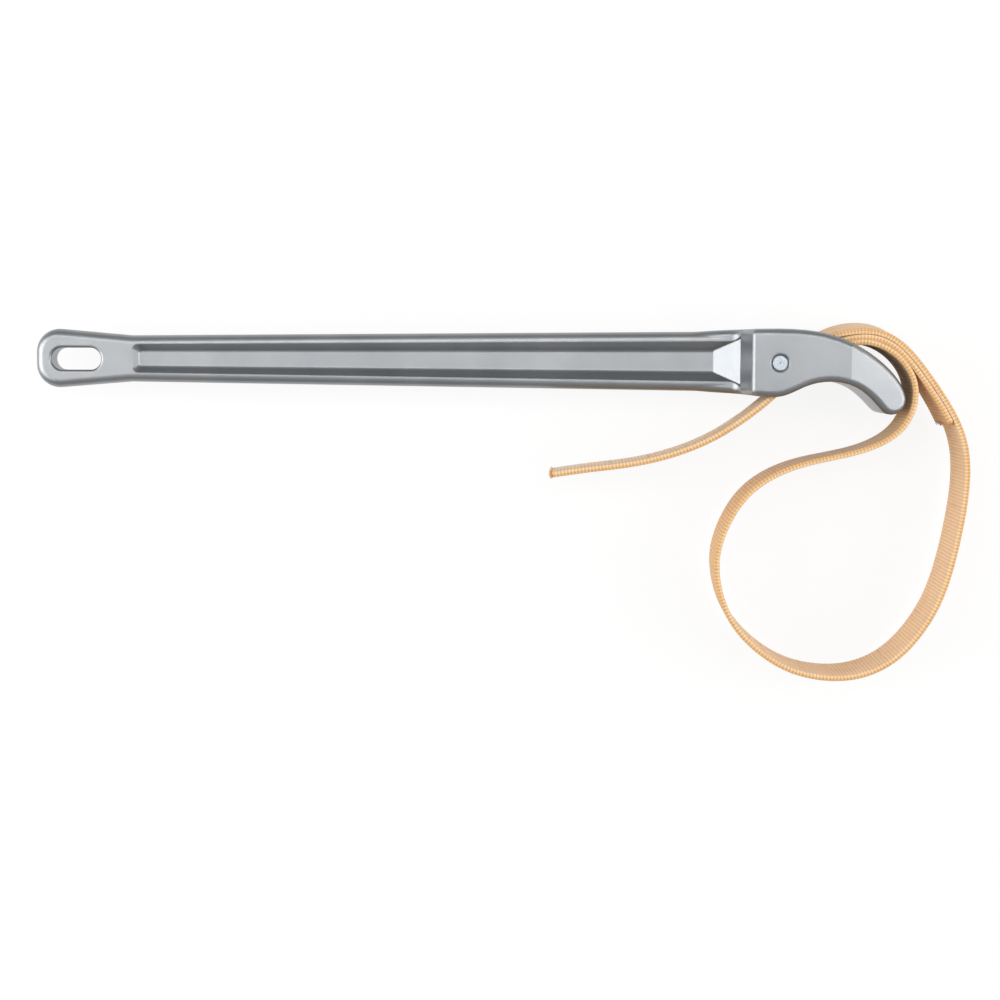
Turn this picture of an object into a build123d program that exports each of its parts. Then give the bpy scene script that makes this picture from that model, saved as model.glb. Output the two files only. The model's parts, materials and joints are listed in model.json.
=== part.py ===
from build123d import *

# Strap wrench: cast I-beam handle with a two-cheek head, a cross pin, and a woven strap that
# runs from a sewn eye on the pin, round a loop, back over the nose and out through the head.
#
# Frame: Z is the thickness direction of the wrench. The pin axis is X = Y = 0 and the lower
# cheek face is Z = 0, so the wrench rests on its side. The handle runs along -X.
import os
from math import cos, hypot, radians, sin, tan

os.makedirs("parts", exist_ok=True)

# ---------------------------------------------------------------- overall sizes
grip_length = 391.5        # pin axis to the far end of the handle
strap_width = 44.5
strap_thick = 3.0
cheek_thick = 6.0          # wall of the head on each side of the strap

# ---------------------------------------------------------------- fits and clearances
pin_fit = 0.02             # radial, pin in the cheek bores
strap_clear = 0.3          # between the soft strap and the pin
strap_side = 0.75          # between each edge of the strap and the cheek beside it
hinge_clear = 0.05         # radial, between one strap length and the next
hinge_relief = 0.7         # each length's hollow end is cut back this far, so that it can turn

cavity_width = strap_width + 2 * strap_side      # clear space between the cheeks
head_depth = cavity_width + 2 * cheek_thick      # outside of one cheek to that of the other
mid = head_depth / 2                             # Z of the middle plane

# ---------------------------------------------------------------- handle
axis_y = 0.6               # the handle's centre line runs a little above the pin
neck_half = 12.4           # half height at the narrow neck behind the hang hole
shank_half = 15.4          # half height where the shank meets the head
end_half = 15.3            # half height round the hang hole
end_thick = 7.2            # half thickness at the far end
root_thick = 9.5           # half thickness at the foot of the head
neck_x = 66.0 - grip_length    # place of the neck
shank_x = -50.0            # place where the shank is widest
rim_round = 4.2            # rounding of the shank's outer edges

hang_length = 26.6         # rounded hole for hanging the wrench up
hang_height = 11.7
hang_x = 21.7 - grip_length
hang_round = 1.3           # rounding of its edges

web_half_thick = 3.7       # half thickness of the web between the flanges
web_half_neck = 4.2        # half height of the web floor at the neck
web_half_root = 5.6        # and at the head
web_start = 55.0 - grip_length    # the flat floor of the web runs from here
web_end = -33.0            # to here
wall_slope = 0.86          # sideways run of the web walls for each 1 mm of depth
ramp_slope = 1.9           # run of the ramp up to the head for each 1 mm of depth
web_round = 1.5            # hollow between the web floor and its walls

# ---------------------------------------------------------------- head
step_x = -20.0             # foot of the steep face
cheek_x = -14.0            # its top
bevel_x = 36.3             # the cheeks begin to taper here
tip_x = 65.6               # furthest point of the hooked nose
tip_half_depth = mid - 5.8    # half depth of the nose there
head_round = 3.0           # rounding of the head's outer edges
cavity_back = -10.0        # rear wall of the space between the cheeks
saddle_x = 44.0            # the strap bears here on a rounded saddle
saddle_y = 7.9             # its top
saddle_round = 37.9        # and its radius
slot_angle = 40.0          # slope of the passage through the head

# ---------------------------------------------------------------- pin
pin_d = 8.0
pin_flush = 0.15           # each pin end stands this far below the cheek face
pin_sink = 1.0             # countersink round the pin bore
pin_chamfer = 0.4          # broken edge of the pin ends
pin_dimple = 0.7           # centre mark in each end

# ---------------------------------------------------------------- strap
seam_lap = 1.2             # the folded-back layer stops this far short of the first hinge
big_links = 12             # lengths round the open loop
small_links = 10           # shorter lengths round the nose
tail_links = 5

half_t = strap_thick / 2

# ================================================================ strap centre line
# Outer layer of the sewn part, from just off the pin to the end of the seam.
seam_points = [(9, 6.6), (22, 13.2), (34.5, 17.3), (44, 18.4), (52.4, 17.3), (60.4, 13.6)]
seam_points += [(67.5, 7.3), (74.2, -1.2), (81, -11.2), (87, -20.6), (92, -30)]
# The open loop, down the far side, round and back up to the nose.
loop_points = [(95.6, -39.5), (97.5, -51), (97.2, -67), (94.8, -84), (90.6, -104), (84, -124)]
loop_points += [(74, -141), (60, -155), (44, -162.3), (26, -163.6), (7.6, -159.4)]
loop_points += [(-9.6, -148.9), (-22.2, -135), (-29.2, -118), (-30.5, -101), (-25.6, -84.4)]
loop_points += [(-15, -68.3), (-1, -58.1), (17, -51.5), (38, -46.8)]
# Round the nose and down to the head.
nose_points = [(54, -41), (64.5, -33), (70.1, -21.5), (70, -9.5), (64.2, 1), (55, 8.3)]
nose_points += [(44, 11.3), (31, 8.3), (18, 0.8), (6, -9.1)]
# Through the head and along the loose tail.
tail_points = [(-5, -19.2), (-19.6, -30.6), (-32.5, -38.6), (-46, -44.8), (-60, -49.4)]
tail_points += [(-76, -52.9), (-96, -55.6), (-116.5, -58.6)]

with BuildLine() as centre:
    Spline(*(seam_points + loop_points + nose_points + tail_points))
path = centre.edges()[0]
path_length = path.length


def nearest(point):
    """Distance along the centre line to the place nearest a point."""
    best = 0.0
    gap = 1e9
    for i in range(2001):
        d = path_length * i / 2000
        p = path.position_at(d, position_mode=PositionMode.LENGTH)
        g = hypot(p.X - point[0], p.Y - point[1])
        if g < gap:
            gap = g
            best = d
    return best


def spot(d, side=0.0):
    """A point at distance d along the centre line, moved sideways to its left."""
    p = path.position_at(d, position_mode=PositionMode.LENGTH)
    t = path.tangent_at(d, position_mode=PositionMode.LENGTH)
    return (p.X - t.Y * side, p.Y + t.X * side)


seam_end = nearest(seam_points[-1])
nose_start = nearest(loop_points[-1]) + 6.0
slot_start = nearest(nose_points[-1])
slot_end = nearest(tail_points[1])

stations = [seam_end]
for i in range(big_links):
    stations.append(seam_end + (nose_start - seam_end) * (i + 1) / big_links)
for i in range(small_links):
    stations.append(nose_start + (slot_start - nose_start) * (i + 1) / small_links)
stations.append(slot_end)
for i in range(tail_links):
    stations.append(slot_end + (path_length - slot_end) * (i + 1) / tail_links)

# ================================================================ handle casting
far = -grip_length
shank_rise = (shank_half - neck_half) / (shank_x - neck_x)
shank_end = cheek_x + 4
shank_end_half = neck_half + shank_rise * (shank_end - neck_x)
shoulder_x = far + 51
shoulder_half = neck_half + shank_rise * (shoulder_x - neck_x)
end_corner = end_half + 1.3

# Shank: bulb round the hang hole, neck, and a slow taper to the head.
with BuildPart() as shank:
    with BuildSketch() as shank_view:
        with BuildLine():
            Polyline(
                (far, axis_y - end_corner),
                (far, axis_y + end_corner),
                (shoulder_x, axis_y + shoulder_half),
                (shank_end, axis_y + shank_end_half),
                (shank_end, axis_y - shank_end_half),
                (shoulder_x, axis_y - shoulder_half),
                close=True,
            )
        make_face()
        corners = shank_view.vertices()
        fillet(corners.filter_by_position(Axis.X, far - 1, far + 1), radius=0.8 * end_half)
        fillet(corners.filter_by_position(Axis.X, shoulder_x - 1, shoulder_x + 1), radius=250)
    extrude(amount=2 * root_thick, both=True)
    with BuildSketch(Plane.XZ) as shank_taper:
        with BuildLine():
            Polyline(
                (far - 5, end_thick),
                (shank_end + 5, root_thick),
                (shank_end + 5, 3 * root_thick),
                (far - 5, 3 * root_thick),
                close=True,
            )
        make_face()
        mirror(about=Plane.XZ)
    extrude(amount=60, both=True, mode=Mode.SUBTRACT)
    rim = shank.edges().filter_by(lambda e: abs(e.center().Z) > 1 and e.center().X < shank_end - 1)
    fillet(rim.filter_by(lambda e: abs(e.tangent_at(0.5).Z) < 0.9), radius=rim_round)

# Head: two deep cheeks running out into the hooked nose.
with BuildPart() as head:
    with BuildSketch() as head_view:
        with BuildLine():
            tip_top = (tip_x - 0.1, -17.4)
            tip_low = (tip_x - 10.3, -25.8)
            Spline(
                (-52, 15.2),
                (-38, 16.4),
                (-14, 17.5),
                (5, 17.6),
                (24, 15.3),
                (38.5, 9.9),
                (53.2, 0.1),
                (61.6, -8.9),
                tip_top,
                tangents=[(1, 0.09), (0.17, -0.98)],
            )
            ThreePointArc(tip_top, (tip_x - 2.3, -24.1), tip_low)
            Spline(
                tip_low,
                (50.9, -22.0),
                (40.5, -13.0),
                (27.5, -9.5),
                (14.0, -11.8),
                (2.0, -16.9),
                (-14.0, -16.8),
                (-38, -15.2),
                (-52, -13.9),
                tangents=[(-0.9, 0.43), (-1, 0.09)],
            )
            Line((-52, 15.2), (-52, -13.9))
        make_face()
    extrude(amount=mid, both=True)
    taper = (mid - tip_half_depth) / (tip_x - bevel_x)
    with BuildSketch(Plane.XZ) as nose_taper:
        with BuildLine():
            Polyline(
                (bevel_x, mid),
                (tip_x + 5, mid - taper * (tip_x + 5 - bevel_x)),
                (tip_x + 5, mid + 10),
                (bevel_x, mid + 10),
                close=True,
            )
        make_face()
        mirror(about=Plane.XZ)
    extrude(amount=60, both=True, mode=Mode.SUBTRACT)
    with BuildSketch(Plane.XZ) as step_view:
        with BuildLine():
            Polyline(
                (-53, root_thick - 1.1),
                (step_x, root_thick + 0.1),
                (cheek_x, mid),
                (cheek_x, mid + 10),
                (-53, mid + 10),
                close=True,
            )
        make_face()
        foot = step_view.vertices().filter_by_position(Axis.X, step_x - 0.1, step_x + 0.1)
        fillet(foot, radius=7.0)
        mirror(about=Plane.XZ)
    extrude(amount=60, both=True, mode=Mode.SUBTRACT)
    # every outer edge except the crease where the taper starts and the foot of the step
    edges = head.edges().filter_by(lambda e: abs(e.center().Z) > 1 and e.center().X > -51)
    cross = edges.filter_by(lambda e: abs(e.tangent_at(0.5).Y) > 0.9 and abs(e.center().Y) < 3)
    brow = cross.filter_by(lambda e: abs(e.center().X - cheek_x) < 0.5)
    fillet([e for e in edges if e not in cross] + list(brow), radius=head_round)

with BuildPart() as handle:
    add(shank.part)
    add(head.part)

    # Web: a long pocket in each face with sloping walls and a gentle ramp up to the head.
    for face in (1, -1):
        rise = 9.0
        side = rise * wall_slope
        with BuildSketch(Plane.XY.offset(face * web_half_thick)) as web_floor:
            with BuildLine():
                Polyline(
                    (web_start, axis_y - web_half_neck),
                    (web_start, axis_y + web_half_neck),
                    (web_end, axis_y + web_half_root),
                    (web_end, axis_y - web_half_root),
                    close=True,
                )
            make_face()
            floor_corners = web_floor.vertices().filter_by_position(Axis.X, web_start - 1, web_start + 1)
            fillet(floor_corners, radius=1.5)
        with BuildSketch(Plane.XY.offset(face * (web_half_thick + rise))) as web_mouth:
            with BuildLine():
                Polyline(
                    (web_start - side, axis_y - web_half_neck - side),
                    (web_start - side, axis_y + web_half_neck + side),
                    (web_end + ramp_slope * rise, axis_y + web_half_root + side),
                    (web_end + ramp_slope * rise, axis_y - web_half_root - side),
                    close=True,
                )
            make_face()
            mouth_corners = web_mouth.vertices().filter_by_position(
                Axis.X, web_start - side - 1, web_start - side + 1
            )
            fillet(mouth_corners, radius=5.5)
        loft(ruled=True, mode=Mode.SUBTRACT)
    floor_edges = handle.edges().filter_by(
        lambda e: abs(abs(e.center().Z) - web_half_thick) < 0.02
        and web_start - 2 < e.center().X < web_end + 1
        and abs(e.center().Y - axis_y) < web_half_root + 1
    )
    fillet(floor_edges, radius=web_round)

    # Hang hole.
    with BuildSketch(Plane.XY.offset(-mid)):
        with Locations((hang_x, axis_y - 0.3)):
            SlotOverall(hang_length, hang_height)
    extrude(amount=2 * mid, mode=Mode.SUBTRACT)

    # Space between the cheeks: open above and below, closed to the right by the rounded saddle
    # that carries the strap over the root of the nose.
    with BuildSketch(Plane.XY.offset(-cavity_width / 2)):
        with BuildLine():
            saddle_mid = (saddle_x, saddle_y - saddle_round)
            a = radians(90 + slot_angle)
            foot_x = saddle_mid[0] + saddle_round * cos(a)
            foot_y = saddle_mid[1] + saddle_round * sin(a)
            b = radians(90 + slot_angle / 2)
            over = (saddle_mid[0] + saddle_round * cos(b), saddle_mid[1] + saddle_round * sin(b))
            low_x = foot_x - (foot_y + 20) / tan(radians(slot_angle))
            Polyline((saddle_x, saddle_y), (saddle_x, 40), (cavity_back, 40), (cavity_back - 2, -40))
            Polyline((cavity_back - 2, -40), (low_x, -40), (low_x, -20), (foot_x, foot_y))
            ThreePointArc((foot_x, foot_y), over, (saddle_x, saddle_y))
        make_face()
    extrude(amount=cavity_width, mode=Mode.SUBTRACT)

    # Pin bore with a light countersink in each cheek.
    with Locations((0, 0, 0)):
        Cylinder(pin_d / 2 + pin_fit, head_depth + 2, mode=Mode.SUBTRACT)
    bore_mouths = handle.edges().filter_by(GeomType.CIRCLE).filter_by(
        lambda e: abs(e.radius - pin_d / 2 - pin_fit) < 0.01 and abs(abs(e.center().Z) - mid) < 0.1
    )
    chamfer(bore_mouths, length=pin_sink)

    # Softened edges of the hang hole and of the web pockets.
    hole_mouths = handle.edges().filter_by(
        lambda e: abs(e.center().X - hang_x) < hang_length / 2 + 1
        and abs(e.center().Y - axis_y) < hang_height / 2 + 1
        and abs(e.tangent_at(0.5).Z) < 0.9
    )
    fillet(hole_mouths, radius=hang_round)

# ================================================================ pin
with BuildPart() as pin:
    with BuildSketch(Plane.XZ):
        with BuildLine():
            Polyline(
                (0, mid - pin_flush - pin_dimple),
                (pin_dimple, mid - pin_flush),
                (pin_d / 2 - pin_chamfer, mid - pin_flush),
                (pin_d / 2, mid - pin_flush - pin_chamfer),
                (pin_d / 2, pin_flush + pin_chamfer - mid),
                (pin_d / 2 - pin_chamfer, pin_flush - mid),
                (pin_dimple, pin_flush - mid),
                (0, pin_flush + pin_dimple - mid),
                close=True,
            )
        make_face()
    revolve(axis=Axis.Z)

# ================================================================ sewn eye of the strap
eye_inner = pin_d / 2 + strap_clear
eye_outer = eye_inner + strap_thick
lap_start = 14.0           # the two layers lie together from here on, along the centre line
seam_steps = 9


def layer_edge(side, start, stop):
    """Points along one face of the sewn part, at a sideways offset from the centre line."""
    return [spot(start + (stop - start) * i / seam_steps, side) for i in range(seam_steps + 1)]


with BuildPart() as strap_eye:
    with BuildSketch(Plane.XY.offset(-strap_width / 2)):
        # ring round the pin, drawn out to meet the two layers
        meet = spot(lap_start, -half_t)
        with BuildSketch(mode=Mode.PRIVATE) as drop:
            Circle(eye_outer)
            with Locations(meet):
                Circle(strap_thick)
            make_hull()
        add(drop.sketch)
        # the two layers, one on the other
        with BuildLine():
            Spline(*layer_edge(half_t, lap_start, seam_end - seam_lap))
            Spline(*layer_edge(half_t - 2 * strap_thick, lap_start, seam_end - seam_lap))
            Line(spot(lap_start, half_t), spot(lap_start, half_t - 2 * strap_thick))
            Line(
                spot(seam_end - seam_lap, half_t),
                spot(seam_end - seam_lap, half_t - 2 * strap_thick),
            )
        make_face()
        # the outer layer alone carries on to the first hinge
        with BuildLine():
            tongue = [spot(seam_end - seam_lap - 0.5, half_t), spot(seam_end, half_t)]
            tongue += [spot(seam_end, -half_t), spot(seam_end - seam_lap - 0.5, -half_t)]
            Polyline(*tongue, close=True)
        make_face()
        with Locations(spot(seam_end)):
            Circle(half_t)
        # room for the pin
        with BuildSketch(mode=Mode.PRIVATE) as hollow:
            Circle(eye_inner)
            with Locations(spot(lap_start - 8.0, -half_t)):
                Circle(0.25)
            make_hull()
        add(hollow.sketch, mode=Mode.SUBTRACT)
    extrude(amount=strap_width)

# ================================================================ the rest of the strap
# Each length is hinged to the one before it at mid thickness: a rounded end turning in a
# hollow end.
lengths = []
for i in range(len(stations) - 1):
    start = stations[i]
    stop = stations[i + 1]
    mouth = start + hinge_relief
    middle = (mouth + stop) / 2
    last = i == len(stations) - 2
    with BuildPart() as length:
        with BuildSketch(Plane.XY.offset(-strap_width / 2)):
            with BuildLine():
                ThreePointArc(spot(mouth, half_t), spot(middle, half_t), spot(stop, half_t))
                ThreePointArc(spot(mouth, -half_t), spot(middle, -half_t), spot(stop, -half_t))
                Line(spot(mouth, half_t), spot(mouth, -half_t))
                Line(spot(stop, half_t), spot(stop, -half_t))
            make_face()
            if not last:
                with Locations(spot(stop)):
                    Circle(half_t)
            with Locations(spot(start)):
                Circle(half_t + hinge_clear, mode=Mode.SUBTRACT)
        extrude(amount=strap_width)
    lengths.append(length)

# ================================================================ export
first_slot = big_links + small_links
names = ["strap_loop_%02d" % (i + 1) for i in range(first_slot)]
names += ["strap_slot"]
names += ["strap_tail_%02d" % (i + 1) for i in range(tail_links)]

pieces = [("handle", handle.part), ("pin", pin.part), ("strap_eye", strap_eye.part)]
pieces += [(names[i], lengths[i].part) for i in range(len(names))]
for name, shape in pieces:
    placed = Pos(0, 0, mid) * shape
    placed.label = name
    export_step(placed, "parts/" + name + ".step")
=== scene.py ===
# %% [markdown]
# # A strap wrench, dressed in Blender
#
# The wrench is a cast aluminium handle with a hooked head, a steel cross pin, and a woven strap.
# The strap starts in a sewn eye on the pin, runs round a loop, comes back over the nose and leaves
# through the head as a loose tail. The exact solids come from the CAD frame, one per piece, in
# metres. This lesson gives each of them its finish, and weaves the strap.

# %% Load the frame
import json
import math

import bmesh
import bpy
import numpy as np
from mathutils import Matrix, Vector

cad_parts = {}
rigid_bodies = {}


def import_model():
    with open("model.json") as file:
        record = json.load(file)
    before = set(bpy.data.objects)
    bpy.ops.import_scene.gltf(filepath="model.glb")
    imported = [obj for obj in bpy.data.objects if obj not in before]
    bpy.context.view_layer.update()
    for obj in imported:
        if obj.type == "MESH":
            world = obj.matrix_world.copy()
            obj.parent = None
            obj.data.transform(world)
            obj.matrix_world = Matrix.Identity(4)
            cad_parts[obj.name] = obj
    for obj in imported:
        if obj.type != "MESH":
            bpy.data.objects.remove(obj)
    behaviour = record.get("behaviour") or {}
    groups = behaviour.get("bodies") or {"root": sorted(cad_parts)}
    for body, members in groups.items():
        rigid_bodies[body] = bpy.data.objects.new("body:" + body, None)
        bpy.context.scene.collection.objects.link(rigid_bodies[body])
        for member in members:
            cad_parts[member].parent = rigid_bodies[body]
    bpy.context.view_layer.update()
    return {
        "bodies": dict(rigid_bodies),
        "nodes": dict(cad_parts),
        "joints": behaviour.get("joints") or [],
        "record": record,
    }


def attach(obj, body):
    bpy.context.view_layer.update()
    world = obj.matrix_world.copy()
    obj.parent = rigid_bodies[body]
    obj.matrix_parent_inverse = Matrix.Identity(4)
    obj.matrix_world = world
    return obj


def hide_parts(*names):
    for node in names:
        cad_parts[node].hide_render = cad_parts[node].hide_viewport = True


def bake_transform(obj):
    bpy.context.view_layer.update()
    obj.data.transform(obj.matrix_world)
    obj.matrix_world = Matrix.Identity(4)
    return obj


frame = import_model()
mm = 0.001

# %% [markdown]
# ## Small helpers
#
# Colours are written as they look on a screen, so one function turns a hex value to the linear
# numbers that shaders use. A second one adds a node, sets it and links it, so that a material
# reads from top to bottom like a recipe.


# %% Colour and node helpers
def linear(hex_colour):
    """A screen colour such as "B4B6B8" as linear red, green, blue and alpha."""
    parts = [int(hex_colour[i:i + 2], 16) / 255 for i in (0, 2, 4)]
    return [c / 12.92 if c <= 0.04045 else ((c + 0.055) / 1.055) ** 2.4 for c in parts] + [1.0]


def add(tree, kind, inputs=None, **settings):
    """One node with its settings; an input is a value, or another node's output socket."""
    node = tree.nodes.new(kind)
    for name, value in settings.items():
        setattr(node, name, value)
    for name, value in (inputs or {}).items():
        if isinstance(value, bpy.types.NodeSocket):
            tree.links.new(value, node.inputs[name])
        else:
            node.inputs[name].default_value = value
    return node


def new_material(name):
    """An empty node material and its output node."""
    made = bpy.data.materials.new(name)
    made.use_nodes = True
    made.node_tree.nodes.clear()
    return made, add(made.node_tree, "ShaderNodeOutputMaterial")


def ramp(tree, factor, stops):
    """A colour ramp from (position, hex colour) stops."""
    node = add(tree, "ShaderNodeValToRGB", {"Fac": factor})
    while len(node.color_ramp.elements) < len(stops):
        node.color_ramp.elements.new(0.5)
    for element, (place, colour) in zip(node.color_ramp.elements, stops):
        element.position = place
        element.color = linear(colour)
    return node


print("mid grey is", [round(c, 3) for c in linear("BCBCBC")[:3]], "in linear light")

# %% [markdown]
# ## Camera, floor and light
#
# The wrench lies on its cheek, and the camera looks straight down on it from about 1.1 m, a
# little to the handle side of the pin. A tool like this is lit by wide soft boxes: one on each
# side in line with the handle, which brighten every slope that faces along it, and a broad one
# overhead. The floor is white card. It shows white to the camera and still takes a soft shadow.

# %% Camera
middle = 29 * mm
eye = Vector((-100.7, 3.0, 1141.0)) * mm
aim = Vector((-144.7, -73.5, 29.0)) * mm
roll = math.radians(0.3)
camera = bpy.data.objects.new("camera", bpy.data.cameras.new("camera"))
bpy.context.scene.collection.objects.link(camera)
look = (aim - eye).normalized()
side = look.cross(Vector((-math.sin(roll), math.cos(roll), 0))).normalized()
up = side.cross(look)
camera.matrix_world = Matrix.Translation(eye) @ Matrix((side, up, -look)).transposed().to_4x4()
camera.data.sensor_width = 36
camera.data.lens = 36 * 1112 / 530
camera.data.clip_start, camera.data.clip_end = 0.01, 20
bpy.context.scene.camera = camera
bpy.context.scene.view_settings.view_transform = "Standard"
print("the eye is", round((aim - eye).length, 3), "m from what it looks at")


# %% Floor and lamps
def plane(name, size, z):
    """A flat square facing up."""
    mesh = bpy.data.meshes.new(name)
    half = size / 2
    corners = [(-half, -half, z), (half, -half, z), (half, half, z), (-half, half, z)]
    mesh.from_pydata(corners, [], [(0, 1, 2, 3)])
    made = bpy.data.objects.new(name, mesh)
    bpy.context.scene.collection.objects.link(made)
    return made


def soft_box(name, place, target, wide, high, watts):
    """A rectangular lamp that faces its target."""
    lamp = bpy.data.lights.new(name, "AREA")
    lamp.shape, lamp.size, lamp.size_y, lamp.energy = "RECTANGLE", wide, high, watts
    made = bpy.data.objects.new(name, lamp)
    made.location = place
    made.rotation_mode = "QUATERNION"
    made.rotation_quaternion = (Vector(target) - Vector(place)).to_track_quat("-Z", "Y")
    bpy.context.scene.collection.objects.link(made)
    return made


def white_to_the_eye(tree, lit, share):
    """Mixes a lit surface with plain white, for what the eye sees directly or in a reflection."""
    path = add(tree, "ShaderNodeLightPath")
    through = add(tree, "ShaderNodeMath", {0: path.outputs["Is Glossy Ray"],
                                          1: path.outputs["Is Transmission Ray"]},
                  operation="MAXIMUM")
    seen = add(tree, "ShaderNodeMath", {0: path.outputs["Is Camera Ray"], 1: through.outputs[0]},
               operation="MAXIMUM")
    weight = add(tree, "ShaderNodeMath", {0: seen.outputs[0], 1: share}, operation="MULTIPLY")
    white = add(tree, "ShaderNodeEmission", {"Color": (1, 1, 1, 1), "Strength": 1.0})
    return add(tree, "ShaderNodeMixShader", {0: weight.outputs[0], 1: lit, 2: white.outputs[0]})


floor = plane("floor", 8.0, -0.2 * mm)
card, card_out = new_material("white_card")
card_lit = add(card.node_tree, "ShaderNodeBsdfDiffuse", {"Color": linear("F4F4F4")})
card_seen = white_to_the_eye(card.node_tree, card_lit.outputs[0], 0.88)
card.node_tree.links.new(card_seen.outputs[0], card_out.inputs["Surface"])
floor.data.materials.append(card)

soft_box("box_over", (-0.15, 0.35, 1.7), (-0.15, -0.02, 0), 1.6, 0.5, 9)
soft_box("box_left", (-1.3, 0.0, 0.75), (-0.15, -0.03, 0), 0.9, 1.2, 13)
soft_box("box_right", (1.0, 0.0, 0.75), (-0.05, -0.03, 0), 0.9, 1.2, 10)

world = bpy.data.worlds.new("studio")
bpy.context.scene.world = world
world.use_nodes = True
world.node_tree.nodes.clear()
room = add(world.node_tree, "ShaderNodeBackground", {"Color": (1, 1, 1, 1), "Strength": 0.42})
sky = add(world.node_tree, "ShaderNodeBackground", {"Color": (1, 1, 1, 1), "Strength": 1.0})
path = add(world.node_tree, "ShaderNodeLightPath")
sky_mix = add(world.node_tree, "ShaderNodeMixShader",
              {0: path.outputs["Is Camera Ray"], 1: room.outputs[0], 2: sky.outputs[0]})
world_out = add(world.node_tree, "ShaderNodeOutputWorld", {"Surface": sky_mix.outputs[0]})

# %% [markdown]
# ## Cast aluminium
#
# The handle is an aluminium casting, blasted with fine glass beads. Beading leaves a matt silver
# skin: every highlight is broad and soft, and a close look shows a fine even grain of about half
# a millimetre. Casting adds a slow cloudiness over several centimetres. It is a bare metal, so
# the shader is fully metallic, with a roughness near 0.4. The parting edges of a casting are
# never knife sharp, which a small bevel in the shading gives.

# %% The handle's finish
cast, cast_out = new_material("cast_aluminium_bead_blasted")
t = cast.node_tree
place = add(t, "ShaderNodeTexCoord").outputs["Object"]
grain = add(t, "ShaderNodeTexNoise", {"Vector": place, "Scale": 1 / (0.7 * mm), "Detail": 3.0,
                                      "Roughness": 0.6})
cloud = add(t, "ShaderNodeTexNoise", {"Vector": place, "Scale": 1 / (22 * mm), "Detail": 4.0})
pits = add(t, "ShaderNodeTexVoronoi", {"Vector": place, "Scale": 1 / (3.2 * mm),
                                       "Randomness": 1.0})
pit = add(t, "ShaderNodeMapRange", {"Value": pits.outputs["Distance"], "From Min": 0.0,
                                    "From Max": 0.16, "To Min": -1.0, "To Max": 0.0})
tone = ramp(t, cloud.outputs["Fac"], [(0.3, "94979A"), (0.7, "9EA0A2")])
rough = add(t, "ShaderNodeMapRange", {"Value": grain.outputs["Fac"], "From Min": 0.3,
                                      "From Max": 0.7, "To Min": 0.34, "To Max": 0.44})
edge = add(t, "ShaderNodeBevel", {"Radius": 0.9 * mm}, samples=6)
soft_pit = add(t, "ShaderNodeBump", {"Strength": 0.25, "Distance": 0.05 * mm,
                                     "Height": pit.outputs[0], "Normal": edge.outputs[0]})
fine = add(t, "ShaderNodeBump", {"Strength": 0.35, "Distance": 0.06 * mm,
                                 "Height": grain.outputs["Fac"],
                                 "Normal": soft_pit.outputs[0]})
metal = add(t, "ShaderNodeBsdfPrincipled", {"Base Color": tone.outputs["Color"],
                                            "Metallic": 1.0, "Roughness": rough.outputs[0],
                                            "Normal": fine.outputs[0]})
t.links.new(metal.outputs[0], cast_out.inputs["Surface"])


# %% [markdown]
# ## Zinc on the pin
#
# The pin is plain steel, plated with bright zinc. Zinc is bluer and glossier than the casting,
# with a faint mottle where the crystals of the plating differ.

# %% The pin's finish
zinc, zinc_out = new_material("steel_bright_zinc")
t = zinc.node_tree
place = add(t, "ShaderNodeTexCoord").outputs["Object"]
crystals = add(t, "ShaderNodeTexVoronoi", {"Vector": place, "Scale": 1 / (2.6 * mm)})
tint = ramp(t, crystals.outputs["Color"], [(0.2, "B4BDC5"), (0.8, "C6CED5")])
turned = add(t, "ShaderNodeTexNoise", {"Vector": place, "Scale": 1 / (0.8 * mm), "Detail": 3.0})
zinc_bump = add(t, "ShaderNodeBump", {"Strength": 0.3, "Distance": 0.02 * mm,
                                      "Height": turned.outputs["Fac"]})
plate = add(t, "ShaderNodeBsdfPrincipled", {"Base Color": tint.outputs["Color"],
                                            "Metallic": 1.0, "Roughness": 0.24,
                                            "Normal": zinc_bump.outputs[0]})
t.links.new(plate.outputs[0], zinc_out.inputs["Surface"])


def finish_with(node, material):
    """Puts one material on a CAD node."""
    slots = frame["nodes"][node].data.materials
    slots.clear()
    slots.append(material)


finish_with("handle", cast)
finish_with("pin", zinc)
print("finished", cast.name, "and", zinc.name)

# %% [markdown]
# ## The run of the strap
#
# The strap is one length of tight webbing, 44.5 mm wide and 3 mm thick. Seen square on to its
# edge it draws a single smooth line, so a spline through a few chosen places is all it needs. Its
# hinges in the frame lie on the same line. The folded end lies under the first stretch, goes
# round the pin and carries on as the strap.

# %% Places along the strap, in millimetres from the pin
width, thick = 44.5, 3.0
outer = [(9, 6.6), (22, 13.2), (34.5, 17.3), (44, 18.4), (52.4, 17.3), (60.4, 13.6)]
outer += [(67.5, 7.3), (74.2, -1.2), (81, -11.2), (87, -20.6), (92, -30)]
loop = [(95.6, -39.5), (97.5, -51), (97.2, -67), (94.8, -84), (90.6, -104), (84, -124)]
loop += [(74, -141), (60, -155), (44, -162.3), (26, -163.6), (7.6, -159.4)]
loop += [(-9.6, -148.9), (-22.2, -135), (-29.2, -118), (-30.5, -101), (-25.6, -84.4)]
loop += [(-15, -68.3), (-1, -58.1), (17, -51.5), (38, -46.8)]
nose = [(54, -41), (64.5, -33), (70.1, -21.5), (70, -9.5), (64.2, 1), (55, 8.3)]
nose += [(44, 11.3), (31, 8.3), (18, 0.8), (6, -9.1)]
tail = [(-5, -19.2), (-19.6, -30.6), (-32.5, -38.6), (-46, -44.8), (-60, -49.4)]
tail += [(-76, -52.9), (-96, -55.6), (-116.5, -58.6)]


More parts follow.
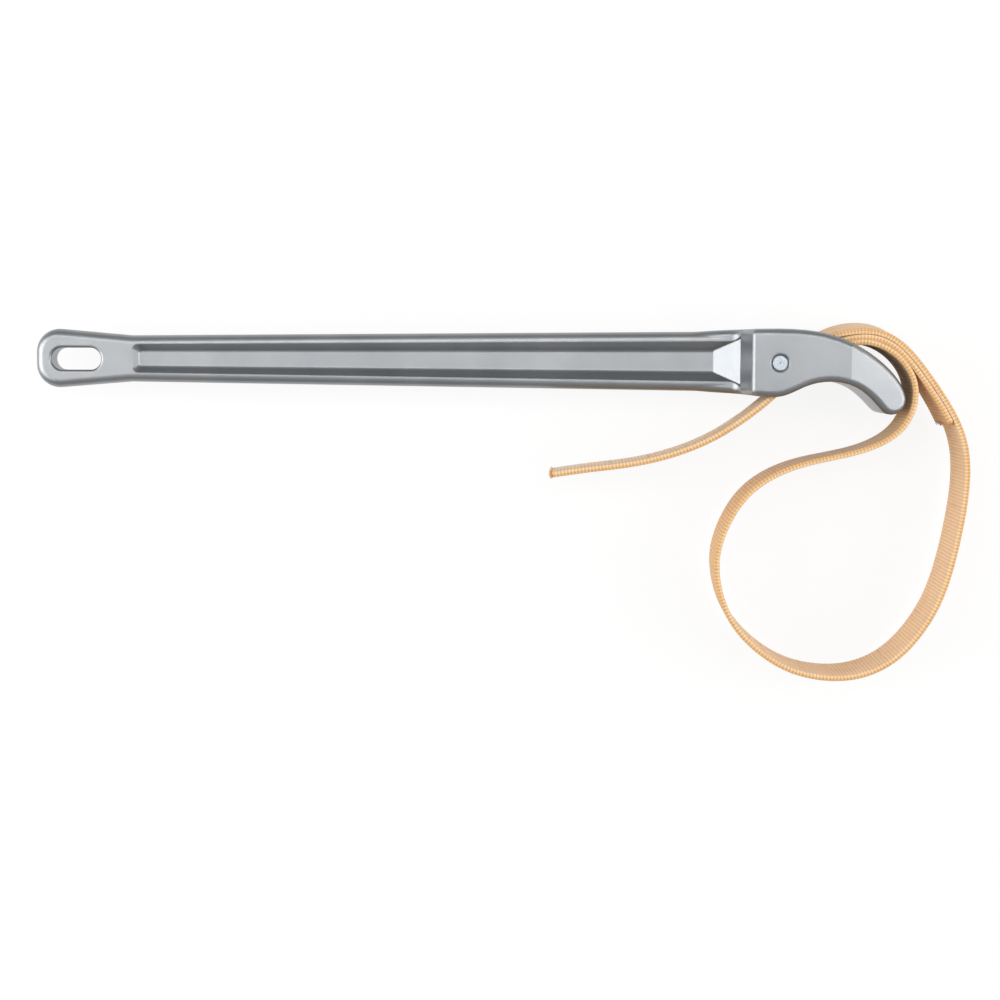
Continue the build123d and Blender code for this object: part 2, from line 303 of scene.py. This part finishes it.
def smooth_line(points, step=0.25):
    """A natural cubic spline through the points, sampled at even distances."""
    p = np.array(points, float)
    h = np.linalg.norm(np.diff(p, axis=0), axis=1)
    t = np.concatenate([[0], np.cumsum(h)])
    n = len(p)
    a, b = np.eye(n), np.zeros((n, 2))
    for i in range(1, n - 1):
        a[i, i - 1:i + 2] = h[i - 1], 2 * (h[i - 1] + h[i]), h[i]
        b[i] = 6 * ((p[i + 1] - p[i]) / h[i] - (p[i] - p[i - 1]) / h[i - 1])
    m = np.linalg.solve(a, b)
    s = np.linspace(0, t[-1], 6000)
    k = np.clip(np.searchsorted(t, s) - 1, 0, n - 2)
    u, v, w = (t[k + 1] - s)[:, None], (s - t[k])[:, None], h[k][:, None]
    line = (m[k] * u ** 3 + m[k + 1] * v ** 3) / (6 * w)
    line += (p[k] / w - m[k] * w / 6) * u + (p[k + 1] / w - m[k + 1] * w / 6) * v
    along = np.concatenate([[0], np.cumsum(np.linalg.norm(np.diff(line, axis=0), axis=1))])
    even = np.linspace(0, along[-1], int(along[-1] / step) + 1)
    return np.stack([np.interp(even, along, line[:, i]) for i in (0, 1)], axis=1), even


run, run_at = smooth_line(outer + loop + nose + tail)
slope = np.gradient(run, axis=0)
slope /= np.linalg.norm(slope, axis=1)[:, None]
left = np.stack([-slope[:, 1], slope[:, 0]], axis=1)


def at_distance(d):
    """Position and left-hand normal on the run, at distances from its start."""
    spot = np.stack([np.interp(d, run_at, run[:, i]) for i in (0, 1)], axis=-1)
    normal = np.stack([np.interp(d, run_at, left[:, i]) for i in (0, 1)], axis=-1)
    return spot, normal


print("from the pin to the tail end the strap is", round(run_at[-1] + 11), "mm long")

# %% [markdown]
# ## The frame's hinges on that line
#
# In the frame the strap is a chain of short rigid lengths. Each visible piece of webbing spans
# one hinge, from the middle of one length to the middle of the next. Its ends lie on rigid
# stretches, so neighbours always meet.

# %% Find each hinge along the run
bodies = list(frame["bodies"])
nodes_of_body = frame["record"]["behaviour"]["bodies"]
joints = [j for j in frame["joints"] if j["name"] != "strap_swing"]
hinge_at = []
for j in joints:
    p = np.array(j["pos_m"][:2]) / mm
    hinge_at.append(run_at[np.argmin(np.linalg.norm(run - p, axis=1))])
chain = [joints[0]["parent"]] + [j["child"] for j in joints]
seam_end = hinge_at[0]
print("hinges", len(hinge_at), "the seam ends", round(seam_end, 1), "mm along")

# %% [markdown]
# ## The whole centre line, fold and all
#
# The sewn eye is one more stretch of the same webbing: from the cut end under the strap, back
# along its underside, round the pin and forward again. Where it lies over the head the strap
# leans a little, so that its upper edge sits lower than its lower one. The lean is given as a
# sideways shift of the edges at a few places, and fades away between them.

# %% Fold, ring and run in one line
eye_bore, fold_gap = 4.3, 0.12
ring_radius = eye_bore + thick / 2
lap_stop, lap_start = seam_end - 1.2, 14.0


def tangent_angle(point, sign):
    """Where a straight line from a point touches the ring, as an angle round the pin."""
    reach, heading = math.hypot(*point), math.atan2(point[1], point[0])
    return heading + sign * math.acos(ring_radius / reach)


under = []
for d in np.arange(lap_stop, lap_start, -5.0):
    spot, normal = at_distance(d)
    under.append(spot - normal * (thick + fold_gap))
over_spot, _ = at_distance(lap_start + 2)
first, last = tangent_angle(under[-1], -1), tangent_angle(over_spot, 1) - 2 * math.pi
turn = [(ring_radius * math.cos(a), ring_radius * math.sin(a))
        for a in np.linspace(first, last, 11)]
join = lap_start + 22
over = [at_distance(d)[0] for d in np.arange(lap_start + 4, join + 9, 6.0)]
fold, _ = smooth_line([*under, *turn, *over])
cut = np.argmin(np.linalg.norm(fold - at_distance(join)[0], axis=1))
rest = run[run_at > join + 0.2]
line = np.concatenate([fold[:cut], rest])
along = np.concatenate([[0], np.cumsum(np.linalg.norm(np.diff(line, axis=0), axis=1))])
shift_to_line = along[-1] - run_at[-1]
heading = np.gradient(line, axis=0)
heading /= np.linalg.norm(heading, axis=1)[:, None]
normals = np.stack([-heading[:, 1], heading[:, 0]], axis=1)

run_lean = [(10, 0), (26, 1.8), (54, 1.8), (80, 0.6), (seam_end, 0), (430, 0), (470, -0.3), (578, -0.3),
            (604, 0)]
fold_end = shift_to_line
lean_from = [(0, 0), (lap_stop - 80, -0.6), (lap_stop - 54, -1.8), (lap_stop - 26, -1.8),
             (fold_end - 12, 0)]
places = [d for d, _ in lean_from] + [d + shift_to_line for d, _ in run_lean]
amounts = [a for _, a in lean_from] + [a for _, a in run_lean]
lean = np.interp(along, places, amounts)
blur = 40
box = np.ones(2 * blur + 1) / (2 * blur + 1)
lean = np.convolve(np.pad(lean, blur, mode="edge"), box, mode="valid")
print("webbing used, with the fold:", round(along[-1]), "mm")


def webbing_point(s, across, out):
    """Points of the webbing: distance along it, place across its width, height off its middle."""
    mid = np.stack([np.interp(s, along, line[:, i]) for i in (0, 1)], axis=-1)
    nor = np.stack([np.interp(s, along, normals[:, i]) for i in (0, 1)], axis=-1)
    off = out - np.interp(s, along, lean) * across / (width / 2)
    flat = mid + nor * off[..., None]
    z = middle / mm + across
    return np.concatenate([flat, np.broadcast_to(z, off.shape)[..., None]], axis=-1) * mm


# %% [markdown]
# ## Weaving the band
#
# Tight webbing has cross ribs about 1.8 mm apart, raised a tenth of a millimetre, and edges
# thickened by the yarn that turns back at each row. The band is swept by hand in code, one ring
# of points every 0.45 mm, because the ribs have to follow its length exactly. Every point keeps
# its distance along and across the webbing, so the weave in the material follows the cloth
# round every bend.

# %% The band's section and ribs
rib_pitch, rib_height, ring_step = 1.8, 0.045, 0.45


def section():
    """One closed ring of (across, out) points, with rounded edges."""
    edge_depth, half = 1.0, thick / 2
    flat = np.linspace(-(width / 2 - edge_depth), width / 2 - edge_depth, 12)
    bend = np.linspace(90, -90, 8)[1:-1]
    right_side = [(width / 2 - edge_depth + edge_depth * math.cos(math.radians(b)),
                   half * math.sin(math.radians(b))) for b in bend]
    top = [(y, half) for y in flat]
    bottom = [(y, -half) for y in flat[::-1]]
    left_side = [(-y, -o) for y, o in right_side]
    return np.array(top + right_side + bottom + left_side)


ring = section()
faces_flat = np.clip((width / 2 - 0.6 - np.abs(ring[:, 0])) / 0.8, 0, 1)


def band(start, stop):
    """Vertices, faces and cloth coordinates of the band between two distances along it."""
    count = max(3, int(round((stop - start) / ring_step)) + 1)
    s = np.linspace(start, stop, count)
    rib = rib_height * np.cos(2 * math.pi * s / rib_pitch)
    grid_s, across = np.meshgrid(s, ring[:, 0], indexing="ij")
    out = ring[:, 1] + np.sign(ring[:, 1]) * faces_flat * (rib[:, None] - rib_height)
    points = webbing_point(grid_s, across, out).reshape(-1, 3)
    n = len(ring)
    i, j = np.meshgrid(np.arange(count - 1), np.arange(n), indexing="ij")
    k = (j + 1) % n
    quads = np.stack([i * n + j, (i + 1) * n + j, (i + 1) * n + k, i * n + k], axis=-1)
    cloth = np.stack([grid_s, across, out], axis=-1).reshape(-1, 3)
    return points, quads.reshape(-1, 4).tolist(), cloth, n


def end_cap(first, n, flip):
    """A flat end: quads from side to side of one ring of the section."""
    half = n // 2
    loop_ids = [first + i for i in range(n)]
    top, low = loop_ids[:half], loop_ids[half:][::-1]
    caps = [(top[i], top[i + 1], low[i + 1], low[i]) for i in range(half - 1)]
    return [c[::-1] for c in caps] if flip else caps


print("ring of", len(ring), "points, about", int(along[-1] / ring_step), "rings")
print("ring of", len(ring), "points, about", int(along[-1] / ring_step), "rings")

# %% [markdown]
# ## What the webbing looks like
#
# The webbing is cream polyester. Its ribs are drawn once more in the shading, with the warp yarns
# crossing them about a millimetre apart, which gives a close look something to find. The face on
# the outside of the loop, which is also the face towards the nose where the strap wraps it, is
# painted a darker, warmer tan. This is painted shade, copied from the shade on the strap face in the
# gap by the nose. Both faces are painted a little darker between ribs, which is painted shade too. The
# turned yarn at the edges varies from pale cream to orange brown, bead by bead.

# %% Webbing and edge yarn
warp_pitch = 0.95
webbing, webbing_out = new_material("woven_polyester_cream")
t = webbing.node_tree
cloth = add(t, "ShaderNodeAttribute", attribute_name="cloth")
parts = add(t, "ShaderNodeSeparateXYZ", {0: cloth.outputs["Vector"]})
stretch = add(t, "ShaderNodeVectorMath", {0: cloth.outputs["Vector"], 1: (1.0, 0.25, 1.0)},
              operation="MULTIPLY")
wobble = add(t, "ShaderNodeTexNoise", {"Vector": stretch.outputs[0], "Scale": 0.35, "Detail": 3.0})
stain = add(t, "ShaderNodeTexNoise", {"Vector": cloth.outputs["Vector"], "Scale": 0.045,
                                      "Detail": 4.0})
fibre = add(t, "ShaderNodeTexNoise", {"Vector": stretch.outputs[0], "Scale": 3.2, "Detail": 2.0})
phase = add(t, "ShaderNodeMath", {0: parts.outputs["X"], 1: 2 * math.pi / rib_pitch},
            operation="MULTIPLY")
bend_phase = add(t, "ShaderNodeMath", {0: wobble.outputs["Fac"], 1: 2.4, 2: phase.outputs[0]},
                 operation="MULTIPLY_ADD")
row = add(t, "ShaderNodeMath", {0: bend_phase.outputs[0]}, operation="COSINE")
warp_phase = add(t, "ShaderNodeMath", {0: parts.outputs["Y"], 1: 2 * math.pi / warp_pitch},
                 operation="MULTIPLY")
warp = add(t, "ShaderNodeMath", {0: warp_phase.outputs[0]}, operation="COSINE")
weave = add(t, "ShaderNodeMath", {0: warp.outputs[0], 1: 0.45, 2: row.outputs[0]},
            operation="MULTIPLY_ADD")
# Painted shade: this darkens the colour in the troughs between ribs and warp yarns. The same value also
# feeds the bump.
shade = add(t, "ShaderNodeMapRange", {"Value": weave.outputs[0], "From Min": -1.45,
                                      "From Max": 1.45, "To Min": 0.0, "To Max": 1.0})
fibres_and_painted_rib_shade = add(t, "ShaderNodeMath", {0: fibre.outputs["Fac"], 1: 0.5, 2: shade.outputs[0]},
            operation="MULTIPLY_ADD")
# Two copies of one cream: the paler one is the lit face, and the darker tan one is painted shade.
lit_face_tone = ramp(t, fibres_and_painted_rib_shade.outputs[0], [(0.2, "CDA679"), (0.6, "DFB88A"), (1.0, "E8C9A2")])
painted_shade_tan_tone = ramp(t, fibres_and_painted_rib_shade.outputs[0], [(0.2, "B8874F"), (0.6, "D3A46C"), (1.0, "DDB582")])
# Painted shade: the face with out above zero, outside the loop and towards the nose, takes the darker
# tan.
painted_shade_face_mask = add(t, "ShaderNodeMath", {0: parts.outputs["Z"], 1: 0.0}, operation="GREATER_THAN")
face = add(t, "ShaderNodeMix", {"Factor": painted_shade_face_mask.outputs[0], 6: lit_face_tone.outputs["Color"],
                                7: painted_shade_tan_tone.outputs["Color"]}, data_type="RGBA")
dirt = add(t, "ShaderNodeMapRange", {"Value": stain.outputs["Fac"], "From Min": 0.5,
                                     "From Max": 0.8, "To Min": 0.0, "To Max": 0.35})
worn = add(t, "ShaderNodeMix", {"Factor": dirt.outputs[0], 6: face.outputs[2],
                                7: linear("C98E55")}, data_type="RGBA")
cloth_bump = add(t, "ShaderNodeBump", {"Strength": 0.5, "Distance": 0.1 * mm,
                                       "Height": fibres_and_painted_rib_shade.outputs[0]})
skin = add(t, "ShaderNodeBsdfPrincipled", {"Base Color": worn.outputs[2], "Roughness": 0.82,
                                           "Specular IOR Level": 0.25, "Sheen Weight": 0.2,
                                           "Normal": cloth_bump.outputs[0]})
t.links.new(skin.outputs[0], webbing_out.inputs["Surface"])

yarn, yarn_out = new_material("polyester_yarn_edge")
t = yarn.node_tree
cloth = add(t, "ShaderNodeAttribute", attribute_name="cloth")
place = add(t, "ShaderNodeAttribute", attribute_name="rest_place")
each = add(t, "ShaderNodeTexWhiteNoise", {"Vector": cloth.outputs["Vector"]})
group = add(t, "ShaderNodeTexNoise", {"Vector": cloth.outputs["Vector"], "Scale": 0.7,
                                      "Detail": 3.0})
mix = add(t, "ShaderNodeMath", {0: each.outputs["Value"], 1: 0.55, 2: group.outputs["Fac"]},
          operation="MULTIPLY_ADD")
yarn_tone = ramp(t, mix.outputs[0], [(0.42, "B06C30"), (0.62, "CE8F50"), (0.85, "E2B27C"),
                                     (1.0, "F4E0C0")])
strand = add(t, "ShaderNodeTexNoise", {"Vector": place.outputs["Vector"], "Scale": 1 / (0.35 * mm),
                                       "Detail": 2.0})
yarn_bump = add(t, "ShaderNodeBump", {"Strength": 0.6, "Distance": 0.08 * mm,
                                      "Height": strand.outputs["Fac"]})
soft = add(t, "ShaderNodeBsdfPrincipled", {"Base Color": yarn_tone.outputs["Color"],
                                           "Roughness": 0.75, "Specular IOR Level": 0.3,
                                           "Sheen Weight": 0.2,
                                           "Normal": yarn_bump.outputs[0]})
t.links.new(soft.outputs[0], yarn_out.inputs["Surface"])
print("woven materials", webbing.name, yarn.name)

# %% [markdown]
# ## Edge yarns and frayed ends
#
# Where the weft turns back at the edge it shows as a row of small slanted beads. A Geometry Nodes
# modifier lays a bead about every millimetre along a rail at each edge, with its own slant and
# size. A second one scatters short fibres over a cut end. Both put the yarn material on what they
# make, and the band keeps its own.


# %% Geometry Nodes: beads along the edges
def start_group(name, sockets):
    """A geometry group with named inputs; returns the group, its input and its output node."""
    group = bpy.data.node_groups.new(name, "GeometryNodeTree")
    group.interface.new_socket("Geometry", in_out="INPUT", socket_type="NodeSocketGeometry")
    for label, kind, value in sockets:
        made = group.interface.new_socket(label, in_out="INPUT", socket_type=kind)
        made.default_value = value
    group.interface.new_socket("Geometry", in_out="OUTPUT", socket_type="NodeSocketGeometry")
    return group, add(group, "NodeGroupInput"), add(group, "NodeGroupOutput")


edge_group, edge_in, edge_out = start_group("edge_yarns", [
    ("Pitch", "NodeSocketFloat", 1.05 * mm), ("Bead length", "NodeSocketFloat", 2.1 * mm),
    ("Bead width", "NodeSocketFloat", 1.15 * mm), ("Slant", "NodeSocketFloat", 1.1),
    ("Seed", "NodeSocketInt", 4)])
g = edge_group
rails = add(g, "GeometryNodeMeshToCurve", {"Mesh": edge_in.outputs["Geometry"]})
spaced = add(g, "GeometryNodeResampleCurve", {"Curve": rails.outputs[0],
                                              "Length": edge_in.outputs["Pitch"]},
             mode="LENGTH")
along_edge = add(g, "GeometryNodeInputTangent")
facing = add(g, "FunctionNodeAlignRotationToVector", {"Vector": along_edge.outputs[0]}, axis="X",
             pivot_axis="Z")
slant = add(g, "FunctionNodeRandomValue", {"Seed": edge_in.outputs["Seed"]}, data_type="FLOAT")
slant.inputs[2].default_value, slant.inputs[3].default_value = -1.3, 1.3
angle = add(g, "ShaderNodeMath", {0: slant.outputs[1], 1: edge_in.outputs["Slant"]},
            operation="MULTIPLY")
tilt = add(g, "ShaderNodeCombineXYZ", {"Z": angle.outputs[0]})
turn_z = add(g, "FunctionNodeEulerToRotation", {0: tilt.outputs[0]})
turned = add(g, "FunctionNodeRotateRotation", {"Rotation": facing.outputs[0],
                                               "Rotate By": turn_z.outputs[0]},
             rotation_space="LOCAL")
vary = add(g, "FunctionNodeRandomValue", {"Seed": 11}, data_type="FLOAT")
vary.inputs[2].default_value, vary.inputs[3].default_value = 0.65, 1.15
bead = add(g, "GeometryNodeMeshIcoSphere", {"Radius": 0.5, "Subdivisions": 2})
smooth = add(g, "GeometryNodeSetShadeSmooth", {0: bead.outputs[0]})
size = add(g, "ShaderNodeCombineXYZ", {"X": edge_in.outputs["Bead width"],
                                       "Y": edge_in.outputs["Bead length"],
                                       "Z": edge_in.outputs["Bead width"]})
scaled = add(g, "ShaderNodeVectorMath", {0: size.outputs[0]}, operation="SCALE")
g.links.new(vary.outputs[1], scaled.inputs["Scale"])
beads = add(g, "GeometryNodeInstanceOnPoints", {"Points": spaced.outputs[0],
                                                "Instance": smooth.outputs[0],
                                                "Rotation": turned.outputs[0],
                                                "Scale": scaled.outputs[0]})
real = add(g, "GeometryNodeRealizeInstances", {0: beads.outputs[0]})
coloured = add(g, "GeometryNodeSetMaterial", {"Geometry": real.outputs[0], "Material": yarn})
g.links.new(coloured.outputs[0], edge_out.inputs["Geometry"])
print("edge group inputs", [s.name for s in edge_group.interface.items_tree
                            if s.in_out == "INPUT"])

# %% Geometry Nodes: fibres on a cut end
fray_group, fray_in, fray_out = start_group("frayed_end", [
    ("Fibre length", "NodeSocketFloat", 1.6 * mm), ("Fibre radius", "NodeSocketFloat", 0.17 * mm),
    ("Spread", "NodeSocketFloat", 0.75), ("Seed", "NodeSocketInt", 9)])
g = fray_group
cone = add(g, "GeometryNodeMeshCone", {"Vertices": 5, "Radius Top": 0.4, "Radius Bottom": 1.0,
                                       "Depth": 1.0})
normal = add(g, "GeometryNodeInputNamedAttribute", data_type="FLOAT_VECTOR")
normal.inputs["Name"].default_value = "outward"
upright = add(g, "FunctionNodeAlignRotationToVector", {"Vector": normal.outputs[0]}, axis="Z")
lean_random = add(g, "FunctionNodeRandomValue", {"Seed": fray_in.outputs["Seed"]},
                  data_type="FLOAT_VECTOR")
lean_random.inputs[0].default_value = (-1, -1, -1)
lean_random.inputs[1].default_value = (1, 1, 1)
leaned = add(g, "ShaderNodeVectorMath", {0: lean_random.outputs[0]}, operation="SCALE")
g.links.new(fray_in.outputs["Spread"], leaned.inputs["Scale"])
lean_turn = add(g, "FunctionNodeEulerToRotation", {0: leaned.outputs[0]})
spun = add(g, "FunctionNodeRotateRotation", {"Rotation": upright.outputs[0],
                                             "Rotate By": lean_turn.outputs[0]},
           rotation_space="LOCAL")
long_random = add(g, "FunctionNodeRandomValue", {"Seed": 21}, data_type="FLOAT")
long_random.inputs[2].default_value, long_random.inputs[3].default_value = 0.5, 1.5
fibre_long = add(g, "ShaderNodeMath", {0: long_random.outputs[1],
                                       1: fray_in.outputs["Fibre length"]}, operation="MULTIPLY")
fibre_size = add(g, "ShaderNodeCombineXYZ", {"X": fray_in.outputs["Fibre radius"],
                                             "Y": fray_in.outputs["Fibre radius"],
                                             "Z": fibre_long.outputs[0]})
fibres = add(g, "GeometryNodeInstanceOnPoints", {"Points": fray_in.outputs["Geometry"],
                                                 "Instance": cone.outputs["Mesh"],
                                                 "Rotation": spun.outputs[0],
                                                 "Scale": fibre_size.outputs[0]})
real = add(g, "GeometryNodeRealizeInstances", {0: fibres.outputs[0]})
coloured = add(g, "GeometryNodeSetMaterial", {"Geometry": real.outputs[0], "Material": yarn})
g.links.new(coloured.outputs[0], fray_out.inputs["Geometry"])
print("fray group inputs", [s.name for s in fray_group.interface.items_tree
                            if s.in_out == "INPUT"])

# %% [markdown]
# ## Cutting the band into pieces that follow the frame
#
# Each piece gets its band, its beads and, at a cut end, its fibres. They are joined to one closed
# mesh. The sewn eye is tied to the first body.


# %% Make and join each piece, and tie the sewn eye
def grown(name, points, edges, attributes, group):
    """The plain mesh that a geometry group grows from a few points and edges."""
    base = bpy.data.meshes.new(name + "_base")
    base.from_pydata(points, edges, [])
    for label, values in attributes.items():
        made = base.attributes.new(label, "FLOAT_VECTOR", "POINT")
        made.data.foreach_set("vector", np.asarray(values, np.float32).ravel())
    holder = bpy.data.objects.new(name, base)
    bpy.context.scene.collection.objects.link(holder)
    tool = holder.modifiers.new(group.name, "NODES")
    tool.node_group = group
    for item in group.interface.items_tree:
        if item.in_out == "INPUT" and item.socket_type != "NodeSocketGeometry":
            tool[item.identifier] = item.default_value
    bpy.context.view_layer.update()
    made = bpy.data.meshes.new_from_object(holder.evaluated_get(
        bpy.context.evaluated_depsgraph_get()))
    bpy.data.objects.remove(holder)
    return made


rail_step, rail_inset, fibre_count, bend_reach = 0.7, 0.72, 420, 14.0


def edge_beads(name, start, stop):
    """Beads along both edges between two distances."""
    s = np.arange(start + rail_step, stop - rail_step, rail_step)
    points, edges, cloth = [], [], []
    for side in (-1, 1):
        across = np.full_like(s, side * (width / 2 - rail_inset))
        base = len(points)
        points += webbing_point(s, across, np.zeros_like(s)).tolist()
        edges += [(base + i, base + i + 1) for i in range(len(s) - 1)]
        cloth += np.stack([s, across, np.zeros_like(s)], axis=-1).tolist()
    return grown(name, points, edges, {"cloth": cloth}, edge_group)


def fray(name, s, outward):
    """Fibres standing out of a cut end; outward is -1 or 1 along the band."""
    draw = np.random.default_rng(31 if outward > 0 else 32)
    across = draw.uniform(-width / 2 + 0.5, width / 2 - 0.5, fibre_count)
    out = draw.uniform(-thick / 2 + 0.25, thick / 2 - 0.25, fibre_count)
    at = np.full(fibre_count, float(s))
    points = webbing_point(at, across, out)
    ahead = webbing_point(at + 0.5, across, out) - webbing_point(at - 0.5, across, out)
    ahead *= outward / np.linalg.norm(ahead, axis=1)[:, None]
    cloth = np.stack([at, across, out], axis=-1)
    return grown(name, points.tolist(), [], {"cloth": cloth, "outward": ahead}, fray_group)


def webbing_piece(name, start, stop, frays=()):
    """One closed piece of webbing between two distances, as an object."""
    points, faces, cloth, n = band(start, stop)
    faces += end_cap(0, n, False) + end_cap(len(points) - n, n, True)
    whole = bmesh.new()
    body = bpy.data.meshes.new(name)
    body.from_pydata(points.tolist(), [], faces)
    made = body.attributes.new("cloth", "FLOAT_VECTOR", "POINT")
    made.data.foreach_set("vector", cloth.astype(np.float32).ravel())
    body.materials.append(webbing)
    body.materials.append(yarn)
    whole.from_mesh(body)
    bmesh.ops.recalc_face_normals(whole, faces=whole.faces)
    extra = [edge_beads(name + "_edge", start, stop)]
    extra += [fray(name + "_fray", s, outward) for s, outward in frays]
    for mesh in extra:
        before = len(whole.faces)
        whole.from_mesh(mesh)
        whole.faces.ensure_lookup_table()
        for f in whole.faces[before:]:
            f.material_index = 1
        bpy.data.meshes.remove(mesh)
    for f in whole.faces:
        f.smooth = True
    whole.to_mesh(body)
    whole.free()
    spots = np.empty(len(body.vertices) * 3, np.float32)
    body.vertices.foreach_get("co", spots)
    made = body.attributes.new("rest_place", "FLOAT_VECTOR", "POINT")
    made.data.foreach_set("vector", spots)
    piece = bpy.data.objects.new(name, body)
    bpy.context.scene.collection.objects.link(piece)
    return piece


tail_stop = along[-1] + 0.01
eye_stop = seam_end - 1.0 + shift_to_line
sewn = webbing_piece("strap_sewn_eye", 0.0, eye_stop, [(0.0, -1)])
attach(sewn, chain[0])
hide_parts(*nodes_of_body[chain[0]])
cuts = [seam_end - 1.0]
cuts += [(a + b) / 2 for a, b in zip(hinge_at[:-1], hinge_at[1:])] + [tail_stop - shift_to_line]
for k, (parent, child) in enumerate(zip(chain[:-1], chain[1:])):
    start, stop = cuts[k], cuts[k + 1]
    frays = [(stop + shift_to_line, 1)] if k == len(hinge_at) - 1 else []
    piece = webbing_piece(f"strap_length_{k + 1:02d}", start + shift_to_line,
                          stop + shift_to_line, frays)
    room = 0.95 * min(hinge_at[k] - start, stop - hinge_at[k])
    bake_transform(piece)
    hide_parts(*nodes_of_body[child])
print("webbing pieces", 1 + len(hinge_at))
